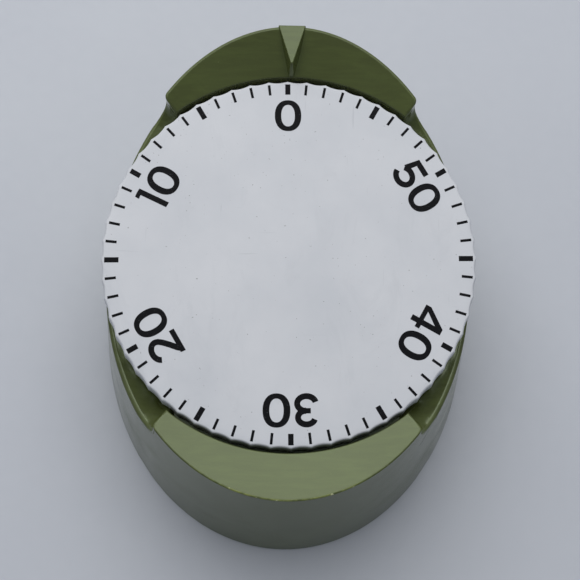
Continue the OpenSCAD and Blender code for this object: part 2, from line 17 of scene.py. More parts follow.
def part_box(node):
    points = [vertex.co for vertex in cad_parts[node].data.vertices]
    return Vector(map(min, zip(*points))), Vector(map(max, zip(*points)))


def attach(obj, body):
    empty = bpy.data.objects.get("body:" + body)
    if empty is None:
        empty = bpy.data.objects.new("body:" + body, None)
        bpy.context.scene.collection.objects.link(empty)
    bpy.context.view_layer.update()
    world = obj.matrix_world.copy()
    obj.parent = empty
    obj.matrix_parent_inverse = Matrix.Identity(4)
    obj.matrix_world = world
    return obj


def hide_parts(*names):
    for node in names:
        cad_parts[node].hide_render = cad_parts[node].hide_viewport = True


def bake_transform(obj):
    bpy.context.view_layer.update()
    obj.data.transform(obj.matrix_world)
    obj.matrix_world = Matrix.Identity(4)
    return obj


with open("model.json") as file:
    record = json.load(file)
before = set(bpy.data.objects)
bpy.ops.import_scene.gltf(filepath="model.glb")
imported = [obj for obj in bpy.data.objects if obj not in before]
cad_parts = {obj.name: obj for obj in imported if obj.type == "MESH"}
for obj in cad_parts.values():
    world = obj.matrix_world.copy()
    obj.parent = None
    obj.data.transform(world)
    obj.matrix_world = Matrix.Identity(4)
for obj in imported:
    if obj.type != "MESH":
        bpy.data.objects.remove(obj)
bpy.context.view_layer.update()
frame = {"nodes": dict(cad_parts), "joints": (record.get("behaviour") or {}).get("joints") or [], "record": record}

MM = 0.001
TO_METRES = Matrix.Scale(MM, 4)
DIAL_JOINT = next(j for j in frame["joints"] if j["name"] == "dial_turn")
DIAL_AXIS = Vector(DIAL_JOINT["axis"])
DIAL_CENTRE = Vector(DIAL_JOINT["pos_m"])
DIAL_SLOPE = math.atan2(-DIAL_AXIS.y, DIAL_AXIS.z)
DIAL_FRAME = Matrix.Translation(DIAL_CENTRE) @ Matrix.Rotation(DIAL_SLOPE, 4, "X")
DIAL_TO_ROW_MM = Matrix.Translation(DIAL_CENTRE / MM) @ Matrix.Rotation(DIAL_SLOPE, 4, "X")
ROW_TO_DIAL_MM = DIAL_TO_ROW_MM.inverted()

# Case, in millimetres. Each draft is how far the wall leans in for each millimetre of height.
CASE_HALF_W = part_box("casing")[1].x / MM
CASE_HALF_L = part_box("casing")[1].y / MM
SIDE_DRAFT = 0.113
END_DRAFT = 0.121
CASE_WALL = 2.4
DECK_Z = -7.5
DECK_T = 2.5
WELL_R = 41.6
RIM_Z = 0
RIM_SLOPE = math.radians(22.5)
RIM_HALF_ANGLE = math.radians(37.9)
HUB_HOLE_R = 6.4
INNER_RING_R = 38
EDGE_R = 0.42
BACK_EDGE_R = 0.8
SHELF_EDGE_R = 1.05
WELL_EDGE_R = 0.2
RIM_CORNER_R = 1.0
FILLET_R = 3.8
POINTER_EDGE_R = 0.15
COVER_EDGE_R = 0.15

# Screw bosses inside the case, in millimetres. Those under the deck are placed in the dial frame, and the
# posts of the base in the row frame.
BOSS_R = 3.2
BORE_R = 1.05
BOSS_H = 3
BOSS_SPOTS = [(0, 27), (-28, 10), (25, -14)]
POST_SPOTS = [(x, y) for x in (-25.5, 25.5) for y in (-36, 36)]
POST_FOOT = 2.3
POST_TOP = 7.2

# Dial, in millimetres. DIAL_ZERO is the azimuth of the scale's 0.
FLUTES = 60
FLUTE_DEPTH = 0.35
FLUTE_STEPS = 12
DIAL_COLUMNS = FLUTES * FLUTE_STEPS
SKIRT_DEPTH = 6
SKIRT_FLARE = 0.5
SKIRT_WALL = 2.6
FACE_T = 2.2
HUB_R = 5
HUB_END_Z = -9.7
HUB_BORE_R = 3.1
HUB_BORE_TOP_Z = -2.4
DIAL_R = 40.7
DIAL_ZERO = math.radians(91.1)

# Print on the dial, in millimetres. The digits are drawn at DIGIT_H, then scaled.
TICK_R = 38.6
TICK_OUTER_R = TICK_R * 1.034
TICK_INNER_R = TICK_R * 0.972
LONG_TICK_INNER_R = TICK_R * 0.954
TICK_HALF_W = 0.29
BOLD_TICK_HALF_W = 0.57
INK_TOP = 0.03
INK_FOOT = -0.03
NUMERAL_R = 32.6
NUMERAL_SCALE = 1.065
DIGIT_H = 6.75
DIGIT_GAP = 0.65
STROKE = 1.18


# ---- Meshes ----


def polar(r, angle, z=0.0):
    return Vector((r * math.cos(angle), r * math.sin(angle), z))


def spread(start, end, count):
    """count + 1 numbers from start to end, evenly spaced."""
    return [start + (end - start) * i / count for i in range(count + 1)]


def add_grid(bm, rows, closed=False):
    """Adds a sheet of faces between rows of points. A closed sheet joins each row's end to its start."""
    verts = [[bm.verts.new(p) for p in row] for row in rows]
    width = len(rows[0])
    for low, high in zip(verts, verts[1:]):
        for i in range(width if closed else width - 1):
            j = (i + 1) % width
            bm.faces.new((low[i], low[j], high[j], high[i]))


def add_closed_tube(bm, rows):
    """Adds a tube of rows of points with a flat face at each end."""
    add_grid(bm, rows, closed=True)
    for row in (rows[0], rows[-1]):
        bm.faces.new([bm.verts.new(p) for p in row])
    finish_mesh(bm)


def add_turned(bm, middle, rings, facets):
    """Adds an upright turned shape of rings (radius, z) about a middle, with a flat face at each end."""
    turns = spread(0, 2 * math.pi, facets)[:-1]
    add_closed_tube(bm, [[middle + polar(r, a, z) for a in turns] for r, z in rings])


def finish_mesh(bm, weld=0.001):
    """Welds a mesh made of sheets that share their borders, and turns its faces outward."""
    bmesh.ops.remove_doubles(bm, verts=bm.verts, dist=weld)
    bmesh.ops.recalc_face_normals(bm, faces=bm.faces)


def piece(name, bm, body, material, matrix=None, smooth_angle=32):
    """Makes an object of a mesh in millimetres. matrix takes its metres to the row frame.

    A piece given no body is left unattached.
    """
    mesh = bpy.data.meshes.new(name)
    bm.transform(TO_METRES)
    bm.to_mesh(mesh)
    bm.free()
    mesh.shade_smooth()
    mesh.set_sharp_from_angle(angle=math.radians(smooth_angle))
    obj = bpy.data.objects.new(name, mesh)
    bpy.context.scene.collection.objects.link(obj)
    if matrix is not None:
        obj.matrix_world = matrix
    mesh.materials.append(material)
    if body is not None:
        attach(obj, body)
    return obj


def apply_modifiers(obj):
    """Swaps an object's mesh for the one that its modifiers make."""
    bpy.context.view_layer.update()
    evaluated = obj.evaluated_get(bpy.context.evaluated_depsgraph_get())
    mesh = bpy.data.meshes.new_from_object(evaluated)
    obj.modifiers.clear()
    old = obj.data
    obj.data = mesh
    bpy.data.meshes.remove(old)


def mark_edges(obj, full_angle=0.3):
    """Writes how strongly each point lies on a raised edge, from 0 to 1, for the materials' wear."""
    bm = bmesh.new()
    bm.from_mesh(obj.data)
    values = []
    for v in bm.verts:
        bends = [e.calc_face_angle_signed(0.0) for e in v.link_edges]
        values.append(min(1.0, max(0.0, max(bends, default=0.0) / full_angle)))
    bm.free()
    attribute = obj.data.attributes.new("raised_edge", "FLOAT", "POINT")
    attribute.data.foreach_set("value", values)


# ---- Materials ----


class Graph:
    """A Principled material under construction. Positions in its textures are in millimetres."""

    def __init__(self, name):
        self.material = bpy.data.materials.new(name)
        self.material.use_nodes = True
        self.tree = self.material.node_tree
        self.shader = self.tree.nodes["Principled BSDF"]
        place = self.add("ShaderNodeTexCoord").outputs["Object"]
        self.place = self.vector("SCALE", place, scale=1 / MM)

    def add(self, kind, settings=None, inputs=None):
        node = self.tree.nodes.new(kind)
        for key, value in (settings or {}).items():
            setattr(node, key, value)
        for key, value in (inputs or {}).items():
            self.feed(node.inputs[key], value)
        return node

    def feed(self, socket, value):
        if isinstance(value, bpy.types.NodeSocket):
            self.tree.links.new(value, socket)
        else:
            socket.default_value = value

    def set(self, **values):
        """Sets or links the shader's inputs. A keyword's underscores stand for spaces."""
        for key, value in values.items():
            self.feed(self.shader.inputs[key.replace("_", " ")], value)

    def vector(self, operation, a, b=None, scale=None):
        node = self.add("ShaderNodeVectorMath", {"operation": operation})
        self.feed(node.inputs[0], a)
        if b is not None:
            self.feed(node.inputs[1], b)
        if scale is not None:
            node.inputs["Scale"].default_value = scale
        return node.outputs[0]

    def math(self, operation, a, b, clamp=False):
        node = self.add("ShaderNodeMath", {"operation": operation, "use_clamp": clamp})
        self.feed(node.inputs[0], a)
        self.feed(node.inputs[1], b)
        return node.outputs[0]

    def noise(self, size, detail=3.0, roughness=0.5, stretch=(1, 1, 1), distortion=0.0, seed=0.0):
        """Noise whose features are about size millimetres across, longer along stretched axes."""
        place = self.vector("DIVIDE", self.place, tuple(size * s for s in stretch))
        moved = self.vector("ADD", place, (seed, seed * 0.7, seed * 1.3))
        inputs = {
            "Vector": moved,
            "Scale": 1.0,
            "Detail": detail,
            "Roughness": roughness,
            "Distortion": distortion,
        }
        return self.add("ShaderNodeTexNoise", None, inputs).outputs["Fac"]

    def span(self, value, low, high, to_low=0.0, to_high=1.0):
        """Carries low..high to to_low..to_high, and holds the ends."""
        inputs = {"Value": value, "From Min": low, "From Max": high, "To Min": to_low, "To Max": to_high}
        return self.add("ShaderNodeMapRange", {"clamp": True}, inputs).outputs["Result"]

    def mix(self, share, a, b):
        """A colour between a and b."""
        node = self.add("ShaderNodeMix", {"data_type": "RGBA"})
        self.feed(node.inputs[0], share)
        self.feed(node.inputs[6], a)
        self.feed(node.inputs[7], b)
        return node.outputs[2]

    def along(self, axis):
        """Position along one axis, in millimetres."""
        return self.add("ShaderNodeSeparateXYZ", None, {"Vector": self.place}).outputs[axis]

    def raised_edge(self):
        """The wear attribute of a piece that mark_edges has marked."""
        return self.add("ShaderNodeAttribute", {"attribute_name": "raised_edge"}).outputs["Fac"]

    def sharp_edge(self, radius):
        """How near a point is to a sharp edge, for CAD nodes, from their normals rounded over radius mm."""
        rounded = self.add("ShaderNodeBevel", {"samples": 4}, {"Radius": radius * MM}).outputs["Normal"]
        flat = self.add("ShaderNodeNewGeometry").outputs["Normal"]
        dot = self.add("ShaderNodeVectorMath", {"operation": "DOT_PRODUCT"}, {0: rounded, 1: flat})
        return self.span(dot.outputs["Value"], 0.985, 0.8)

    def bump(self, height, depth, normal=None):
        """Turns a 0..1 height into a normal. depth is in millimetres."""
        inputs = {"Height": height, "Distance": depth * MM, "Strength": 1.0}
        if normal is not None:
            inputs["Normal"] = normal
        return self.add("ShaderNodeBump", None, inputs).outputs["Normal"]

    def scratches(self, size, length, seed, share=0.72):
        """Thin streaks, as a 0..1 mask."""
        along = self.noise(size, 2.0, 0.5, (length, 1, 1), 0.3, seed)
        across = self.noise(size, 2.0, 0.5, (1, length, 1), 0.3, seed + 5)
        masks = [self.span(noise, share, share + 0.05) for noise in (along, across)]
        return self.math("MAXIMUM", *masks)


def rgb(red, green, blue):
    """A linear colour from sRGB values of 0 to 255."""

    def linear(c):
        c /= 255
        return c / 12.92 if c <= 0.04045 else ((c + 0.055) / 1.055) ** 2.4

    return (linear(red), linear(green), linear(blue), 1.0)


def olive_plastic():
    """Glossy olive plastic: faint streaks and flecks, smudges, fine scratches, and pale wear at its front."""
    g = Graph("olive_plastic")
    cloud = g.span(g.noise(28, 3), 0.35, 0.65)
    fleck = g.span(g.noise(0.35, 2), 0.3, 0.7)
    streak = g.span(g.noise(1.6, 4, 0.65, (7, 1, 1), 0.4, 15), 0.42, 0.68)
    base = g.mix(cloud, rgb(74, 80, 42), rgb(80, 87, 47))
    base = g.mix(g.math("MULTIPLY", fleck, 0.18), base, rgb(68, 74, 40))
    base = g.mix(g.math("MULTIPLY", streak, 0.34), base, rgb(94, 105, 55))
    edge = g.span(g.raised_edge(), 0.85, 1.0)
    at_front = g.span(g.along("Y"), -50, -44, 1.0, 0.05)
    patch = g.math("MULTIPLY", at_front, g.span(g.noise(2.2, 4, 0.65, seed=3), 0.38, 0.6))
    worn = g.math("MULTIPLY", edge, patch)
    base = g.mix(g.math("MULTIPLY", worn, 0.6), base, rgb(158, 166, 92))
    nick = g.math("MULTIPLY", edge, g.span(g.noise(0.9, 2, seed=11), 0.66, 0.7))
    nick = g.math("MULTIPLY", nick, at_front)
    base = g.mix(nick, base, rgb(206, 208, 160))
    smudge = g.span(g.noise(16, 4, 0.6, distortion=0.6, seed=7), 0.4, 0.7)
    scratch = g.scratches(0.9, 14, 21, 0.75)
    rough = g.math("ADD", g.span(smudge, 0, 1, 0.12, 0.24), g.math("MULTIPLY", scratch, 0.07))
    rough = g.math("ADD", rough, g.math("MULTIPLY", edge, 0.42), clamp=True)
    peel = g.bump(g.noise(2.4, 2, seed=2), 0.004)
    marks = g.bump(g.math("SUBTRACT", 1.0, g.math("MAXIMUM", scratch, nick)), 0.004, peel)
    g.set(Base_Color=base, Roughness=rough, Normal=marks, IOR=1.6, Specular_Tint=(0.87, 1.0, 0.74, 1.0))
    return g.material


def dial_plastic():
    """White plastic with faint smears, dark specks, fine scratches, and grime on its raised edges."""
    g = Graph("dial_plastic")
    cloud = g.span(g.noise(22, 4, 0.6, seed=4), 0.35, 0.7)
    base = g.mix(cloud, rgb(216, 217, 220), rgb(206, 208, 212))
    smear = g.math("MULTIPLY", g.span(g.noise(9, 5, 0.7, (1, 2.5, 1), 1.0, 9), 0.55, 0.75), 0.45)
    base = g.mix(smear, base, rgb(196, 198, 202))
    speck = g.math("MULTIPLY", g.span(g.noise(0.5, 1, seed=31), 0.775, 0.79), 0.6)
    base = g.mix(speck, base, rgb(95, 90, 84))
    edge = g.span(g.raised_edge(), 0.5, 0.95)
    grime = g.math("MULTIPLY", edge, g.span(g.noise(1.4, 3, seed=14), 0.5, 0.7, 0.0, 0.3))
    base = g.mix(grime, base, rgb(176, 176, 172))
    scratch = g.scratches(0.7, 22, 40, 0.74)
    base = g.mix(g.math("MULTIPLY", scratch, 0.22), base, rgb(170, 172, 176))
    rough = g.math("ADD", g.span(smear, 0, 0.5, 0.42, 0.3), g.math("MULTIPLY", scratch, 0.2), clamp=True)
    grain = g.bump(g.noise(0.5, 2, seed=8), 0.003)
    marks = g.bump(g.math("SUBTRACT", 1.0, g.math("MAXIMUM", scratch, speck)), 0.01, grain)
    g.set(Base_Color=base, Roughness=rough, Normal=marks, IOR=1.46)
    return g.material


def dial_ink():
    """Black ink, a little faded, with pale pinholes."""
    g = Graph("dial_ink")
    fade = g.span(g.noise(0.45, 4, 0.7, seed=5), 0.42, 0.7)
    base = g.mix(fade, rgb(6, 6, 9), rgb(18, 19, 23))
    pin = g.span(g.noise(0.22, 1, seed=17), 0.72, 0.76)
    base = g.mix(g.math("MULTIPLY", pin, 0.5), base, rgb(120, 122, 126))
    rough = g.span(fade, 0, 1, 0.5, 0.7)
    g.set(Base_Color=base, Roughness=rough, Normal=g.bump(g.noise(0.3, 3, seed=6), 0.006), IOR=1.2)
    return g.material


def cover_plastic():
    """Dark grey textured plastic with scuffs."""
    g = Graph("cover_plastic")
    cloud = g.span(g.noise(15, 3), 0.35, 0.65)
    base = g.mix(cloud, rgb(70, 72, 76), rgb(82, 84, 88))
    scuff = g.scratches(0.8, 18, 50, 0.7)
    base = g.mix(g.math("MULTIPLY", scuff, 0.4), base, rgb(130, 132, 136))
    texture = g.bump(g.noise(0.28, 2, seed=1), 0.02)
    g.set(Base_Color=base, Roughness=g.span(cloud, 0, 1, 0.5, 0.62), Normal=texture)
    return g.material


def metal(name, colour, dull, rough=0.3, grain=(12, 1, 1), stain=0.35):
    """Worked metal: brushed grain, cloudy tarnish towards the dull colour, and bright worn edges."""
    g = Graph(name)
    cloud = g.span(g.noise(5, 4, 0.6, seed=3), 0.35, 0.7)
    base = g.mix(g.math("MULTIPLY", cloud, stain), rgb(*colour), rgb(*dull))
    spot = g.math("MULTIPLY", g.span(g.noise(0.7, 2, seed=23), 0.68, 0.74), 0.5)
    base = g.mix(spot, base, rgb(*dull))
    edge = g.math("MULTIPLY", g.sharp_edge(0.12), 0.6)
    bright = tuple(min(255, c + 35) for c in colour)
    base = g.mix(edge, base, rgb(*bright))
    brushed = g.noise(0.12, 3, 0.6, grain)
    brushed_rough = g.span(brushed, 0.3, 0.7, rough - 0.07, rough + 0.07)
    roughness = g.math("ADD", brushed_rough, g.math("MULTIPLY", cloud, 0.12))
    g.set(Base_Color=base, Metallic=1.0, Roughness=roughness, Normal=g.bump(brushed, 0.004))
    return g.material


MATERIALS = {
    "case_olive": olive_plastic(),
    "dial_white": dial_plastic(),
    "cover_grey": cover_plastic(),
    "steel": metal("turned_steel", (190, 190, 192), (128, 126, 122)),
    "plate_steel": metal("passivated_plate", (196, 184, 140), (150, 142, 112), 0.34, (14, 1, 1), 0.5),
    "brass": metal("stamped_brass", (212, 174, 96), (150, 118, 62), 0.3, (1, 9, 1), 0.45),
    "spring_steel": metal("blued_spring", (84, 92, 108), (58, 60, 66), 0.28, (1, 1, 9)),
    "bell_steel": metal("nickel_bell", (204, 205, 208), (150, 150, 148), 0.16, (1, 1, 1), 0.3),
}
INK = dial_ink()


# ---- Case ----


def rim_top(r):
    """Height of a raised rim's top at radius r, in the dial frame."""
    return RIM_Z + (r - WELL_R) * math.tan(RIM_SLOPE)


def shelf_top(r):
    """Height of the deck and of the side shelves, which rise outwards from the well."""
    return DECK_Z + max(0.0, r - WELL_R) * math.tan(RIM_SLOPE)


def dial_to_row(r, azimuth, z):
    """The row frame's place, in millimetres, of a point given by radius, azimuth and z in the dial frame."""
    return DIAL_TO_ROW_MM @ polar(r, azimuth, z)


def half_axes(height, inset):
    """Half the width and the length of the case's oval at a height, inset from its wall."""
    return CASE_HALF_W - inset - SIDE_DRAFT * height, CASE_HALF_L - inset - END_DRAFT * height


def wall_radius(azimuth, height_at, inset=0.0):
    """Radius where a ray at that azimuth meets the case's wall. height_at gives the ray's z at a radius.

    It halves a range that holds the wall all round.
    """
    low, high, halvings = 20.0, 80.0, 40
    for _ in range(halvings):
        r = (low + high) / 2
        p = dial_to_row(r, azimuth, height_at(r))
        a, b = half_axes(p.z, inset)
        if (p.x / a) ** 2 + (p.y / b) ** 2 < 1:
            low = r
        else:
            high = r
    return low


def oval_point(top, height, inset=0.0):
    """The point at that height straight down the wall's own slope from a point on the wall."""
    a, b = half_axes(top.z, inset)
    angle = math.atan2(top.y / b, top.x / a)
    a, b = half_axes(height, inset)
    return Vector((a * math.cos(angle), b * math.sin(angle), height))


class Rims:
    """Points of the case's top: k counts out from the well to the wall, v is 0 on the deck and 1 on a rim."""

    steps_out = 2
    steps_up = 1
    rim_columns = 44
    side_columns = 60
    fillet_column = math.radians(6.5)
    least_shelf = 2.2

    def __init__(self):
        quarter = math.pi / 2
        ends = [quarter - RIM_HALF_ANGLE, quarter + RIM_HALF_ANGLE]
        ends += [e + math.pi for e in ends]
        self.back = spread(ends[0], ends[1], self.rim_columns)
        self.left = self.side(ends[1], ends[2])
        self.front = spread(ends[2], ends[3], self.rim_columns)
        self.right = self.side(ends[3], ends[0] + 2 * math.pi)
        self.all = self.back + self.left[1:] + self.front[1:] + self.right[1:-1]
        self.ends = ends

    def side(self, start, end):
        """A side's columns. The first and the last are wide enough for the fillet at a rim's foot."""
        between = spread(start + self.fillet_column, end - self.fillet_column, self.side_columns)
        return [start] + between + [end]

    def point(self, azimuth, k, v):
        def height_at(r):
            return shelf_top(r) + v * (rim_top(r) - shelf_top(r))

        outer = wall_radius(azimuth, height_at)
        inner = min(WELL_R, outer - self.least_shelf)
        r = inner + (outer - inner) * k / self.steps_out
        return dial_to_row(r, azimuth, height_at(r))


def casing_cage():
    """The case before its edges are rounded: sheets that share their borders, in the row frame."""
    rims = Rims()
    bm = bmesh.new()
    outs = range(rims.steps_out + 1)
    ups = spread(0, 1, rims.steps_up)
    deck_rings = [HUB_HOLE_R, 10, 20, 30, INNER_RING_R]
    add_grid(bm, [[dial_to_row(r, a, DECK_Z) for a in rims.all] for r in deck_rings], closed=True)
    inner_edge = [rims.point(a, 0, 0) for a in rims.all]
    add_grid(bm, [[dial_to_row(INNER_RING_R, a, DECK_Z) for a in rims.all], inner_edge], closed=True)
    for side in (rims.left, rims.right):
        add_grid(bm, [[rims.point(a, k, 0) for a in side] for k in outs])
    for rim in (rims.back, rims.front):
        add_grid(bm, [[rims.point(a, 0, v) for a in rim] for v in ups])
        add_grid(bm, [[rims.point(a, k, 1) for a in rim] for k in outs])
        add_grid(bm, [[rims.point(a, rims.steps_out, v) for a in rim] for v in ups])
    for end in rims.ends:
        add_grid(bm, [[rims.point(end, k, v) for k in outs] for v in ups])

    shelf_edge = [rims.point(a, rims.steps_out, 0) for a in rims.all]
    foot = [oval_point(p, 0) for p in shelf_edge]
    falls = spread(0, 1, 8)
    add_grid(bm, [[oval_point(p, p.z * (1 - t)) for p in shelf_edge] for t in falls], closed=True)

    under_z = DECK_Z - DECK_T
    inside = [dial_to_row(wall_radius(a, lambda r: under_z, CASE_WALL), a, under_z) for a in rims.all]
    inner_foot = [oval_point(p, 0, CASE_WALL) for p in inside]
    add_grid(bm, [foot, inner_foot], closed=True)
    add_grid(bm, [[oval_point(p, p.z * t, CASE_WALL) for p in inside] for t in falls], closed=True)
    hub = [dial_to_row(HUB_HOLE_R, a, under_z) for a in rims.all]
    add_grid(bm, [[h.lerp(p, t) for h, p in zip(hub, inside)] for t in spread(0, 1, 4)], closed=True)
    add_grid(bm, [hub, [dial_to_row(HUB_HOLE_R, a, DECK_Z) for a in rims.all]], closed=True)
    finish_mesh(bm)
    return bm


def round_edges(obj, radius_of, widest, segments):
    """Rounds an object's sharp edges.

    radius_of(edge, bend) is in mm, and bend is under 0 where the edge is hollow.
    """
    sharp = 0.45
    bm = bmesh.new()
    bm.from_mesh(obj.data)
    layer = bm.edges.layers.float.new("bevel_weight_edge")
    for e in bm.edges:
        bend = e.calc_face_angle_signed(0.0)
        if abs(bend) > sharp:
            e[layer] = radius_of(e, bend) / widest
    bm.to_mesh(obj.data)
    bm.free()
    bevel = obj.modifiers.new("round_edges", "BEVEL")
    bevel.limit_method = "WEIGHT"
    bevel.width = widest * MM
    bevel.segments = segments
    bevel.use_clamp_overlap = False
    bevel.miter_outer = "MITER_ARC"
    weighted = obj.modifiers.new("even_normals", "WEIGHTED_NORMAL")
    weighted.keep_sharp = True
    apply_modifiers(obj)


def casing_radius(edge, bend):
    """How round an edge of the case is, in mm: widest at each rim's foot, then the shelves and rims' ends."""
    near, least_run, least_rise = 0.1, 1, 2
    low, high = sorted((ROW_TO_DIAL_MM @ (v.co / MM) for v in edge.verts), key=lambda p: p.z)
    reach = [Vector((p.x, p.y)).length for p in (low, high)]
    if bend < 0:
        runs_outwards = abs(reach[0] - reach[1]) > least_run
        return FILLET_R if runs_outwards and min(reach) > WELL_R - near else 0
    is_upright = high.z - low.z > least_rise
    if max(reach) < WELL_R + near:
        return 0 if is_upright else WELL_EDGE_R
    if is_upright:
        return RIM_CORNER_R
    if all(abs(p.z - shelf_top(r)) < near for p, r in zip((low, high), reach)):
        return SHELF_EDGE_R
    is_on_back_rim = low.y > 0 and low.z > 0
    return BACK_EDGE_R if is_on_back_rim else EDGE_R


def pointer_solid():
    """The wedge moulded on the back rim: a flat top that narrows to a tip at the dial, with sloping sides."""
    flat_z, foot_z, sunk_z = 4.4, RIM_Z + 0.1, RIM_Z - 0.4
    half_w, tip_half_w, lean, tip_lean = 3.0, 0.25, 0.75, 0.3
    tip_y, foot_y, sunk_in = 43.2, WELL_R + 0.05, 1.98
    back_y = wall_radius(math.pi / 2, lambda r: flat_z)
    sunk_y = back_y - sunk_in
    top = [
        (-half_w, back_y, flat_z),
        (half_w, back_y, flat_z),
        (tip_half_w, tip_y, flat_z),
        (-tip_half_w, tip_y, flat_z),
    ]
    foot = [
        (-half_w - lean, sunk_y, sunk_z),
        (half_w + lean, sunk_y, sunk_z),
        (tip_half_w + tip_lean, foot_y, foot_z),
        (-tip_half_w - tip_lean, foot_y, foot_z),
    ]
    bm = bmesh.new()
    low = [bm.verts.new(p) for p in foot]
    high = [bm.verts.new(p) for p in top]
    bm.faces.new(low)
    bm.faces.new(high)
    for i in range(4):
        j = (i + 1) % 4
        bm.faces.new((low[i], low[j], high[j], high[i]))
    bmesh.ops.recalc_face_normals(bm, faces=bm.faces)
    bm.transform(DIAL_TO_ROW_MM)
    return bm


def add_boss(bm, spot, open_z, root_z, bore_z):
    """A round boss whose lower end is open for a screw."""
    chamfer = 0.25
    rings = [(BOSS_R, root_z), (BOSS_R, open_z + chamfer), (BOSS_R - chamfer, open_z)]
    rings += [(BORE_R, open_z), (BORE_R, bore_z)]
    add_turned(bm, Vector((*spot, 0)), rings, facets=40)


def add_rib(bm, spot):
    """A rib from inside a cover post's wall out into the case's wall."""
    half_t, inset, sunk_in, wall_r = 1.0, 0.05, 0.5, 50.2
    out = Vector((*spot, 0)).normalized()
    side = Vector((-out.y, out.x, 0)) * half_t
    low, high = POST_FOOT + inset, POST_TOP - inset
    corners = [side * s + Vector((0, 0, z)) for s, z in ((-1, low), (1, low), (1, high), (-1, high))]
    post_r = Vector(spot).length + BORE_R + sunk_in
    add_closed_tube(bm, [[out * r + corner for corner in corners] for r in (post_r, wall_r)])


def make_bosses():
    """The posts that the cover is screwed to, and the deck's bosses that the movement hangs from."""
    olive = MATERIALS["case_olive"]
    post_roof, sunk_in, bore_past = 0.6, 0.4, 0.2
    posts = bmesh.new()
    for spot in POST_SPOTS:
        add_boss(posts, spot, POST_FOOT, POST_TOP, POST_TOP - post_roof)
        add_rib(posts, spot)
    mark_edges(piece("case_posts", posts, "case", olive))
    bosses = bmesh.new()
    under_z = DECK_Z - DECK_T
    for spot in BOSS_SPOTS:
        add_boss(bosses, spot, under_z - BOSS_H, under_z + sunk_in, under_z + bore_past)
    mark_edges(piece("case_bosses", bosses, "case", olive, DIAL_FRAME))


def make_casing():
    olive = MATERIALS["case_olive"]
    casing = piece("case_shell", casing_cage(), "case", olive)
    round_edges(casing, casing_radius, FILLET_R, segments=5)
    mark_edges(casing)
    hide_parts("casing")
    pointer = piece("case_pointer", pointer_solid(), "case", olive)
    round_edges(pointer, lambda edge, bend: POINTER_EDGE_R, POINTER_EDGE_R, segments=3)
    mark_edges(pointer, full_angle=2.5)


# ---- Dial ----


def flute(u):
    """How far into a flute the outline lies, from 0 at a crest to 1 mid-way, at share u of the flute."""
    return 1 - (2 * u - 1) ** 2


def dial_ring(radius, z, depth):
    """One ring of the dial's outline. depth is how deep the flutes are there."""
    turns = spread(DIAL_ZERO, DIAL_ZERO + 2 * math.pi, DIAL_COLUMNS)[:-1]
    shares = [flute(i / FLUTE_STEPS) for i in range(FLUTE_STEPS)] * FLUTES
    return [polar(radius - depth * share, turn, z) for share, turn in zip(shares, turns)]


def dial_profile():
    """Rings (radius, z, flute depth) over the face, down the skirt, under the face and up the hub's bore."""
    edge, foot, bevel = 0.45, 0.3, 0.1
    rings = [(r, 0, 0) for r in (4, 12, 20, 28, 34)]
    # The flutes deepen over the outer rings of the face.
    rings += [(37.6, 0, 0.1), (DIAL_R - 1.4, 0, FLUTE_DEPTH)]
    for degrees in range(90, 0, -15):
        angle = math.radians(degrees)
        rings.append((DIAL_R - edge + edge * math.cos(angle), -edge + edge * math.sin(angle), FLUTE_DEPTH))
    for t in spread(0, 1, 4):
        z = -edge - (SKIRT_DEPTH - edge - foot) * t
        rings.append((DIAL_R + SKIRT_FLARE * -z / SKIRT_DEPTH, z, FLUTE_DEPTH))
    rings.append((DIAL_R + SKIRT_FLARE - bevel, -SKIRT_DEPTH + bevel, FLUTE_DEPTH))
    rings.append((DIAL_R + SKIRT_FLARE - foot, -SKIRT_DEPTH, FLUTE_DEPTH))
    inside, lip, corner, hub_foot, draft = DIAL_R - SKIRT_WALL, 0.2, 0.5, 0.6, 0.07
    rings += [(inside + lip, -SKIRT_DEPTH, 0), (inside, -SKIRT_DEPTH + lip, 0)]
    rings += [(inside, -FACE_T - corner, 0), (inside - corner, -FACE_T, 0), (25, -FACE_T, 0)]
    rings += [(HUB_R + hub_foot, -FACE_T, 0), (HUB_R, -FACE_T - hub_foot, 0)]
    rings += [(HUB_R, HUB_END_Z + foot, 0), (HUB_R - foot, HUB_END_Z, 0)]
    rings += [(HUB_BORE_R, HUB_END_Z, 0), (HUB_BORE_R - draft, HUB_BORE_TOP_Z, 0)]
    return rings


def add_fan(bm, loop, z):
    """Closes a loop of vertices with triangles round a middle point."""
    middle = bm.verts.new((0, 0, z))
    for a, b in zip(loop, loop[1:] + loop[:1]):
        bm.faces.new((a, b, middle))


def make_dial():
    bm = bmesh.new()
    add_grid(bm, [dial_ring(*ring) for ring in dial_profile()], closed=True)
    verts = list(bm.verts)
    add_fan(bm, verts[:DIAL_COLUMNS], 0)
    add_fan(bm, verts[-DIAL_COLUMNS:], HUB_BORE_TOP_Z)
    finish_mesh(bm, weld=1e-5)
    white = MATERIALS["dial_white"]
    dial = piece("dial_cap", bm, "dial", white, DIAL_FRAME, smooth_angle=50)
    mark_edges(dial)
    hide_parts("dial")


# ---- Print on the dial ----


def ribbon(points, width):
    """Quads along a line of points, mitred at its bends and cut square at its ends."""
    least_cosine = 0.4
    pts = [Vector(p) for p in points]
    left, right = [], []
    for i, p in enumerate(pts):
        before = (p - pts[i - 1]).normalized() if i else (pts[1] - p).normalized()
        after = (pts[i + 1] - p).normalized() if i + 1 < len(pts) else before
        along = (before + after).normalized()
        normal = Vector((-along.y, along.x)) * (width / 2 / max(least_cosine, along.dot(before)))
        left.append(p + normal)
        right.append(p - normal)
    return [[right[i], right[i + 1], left[i + 1], left[i]] for i in range(len(pts) - 1)]


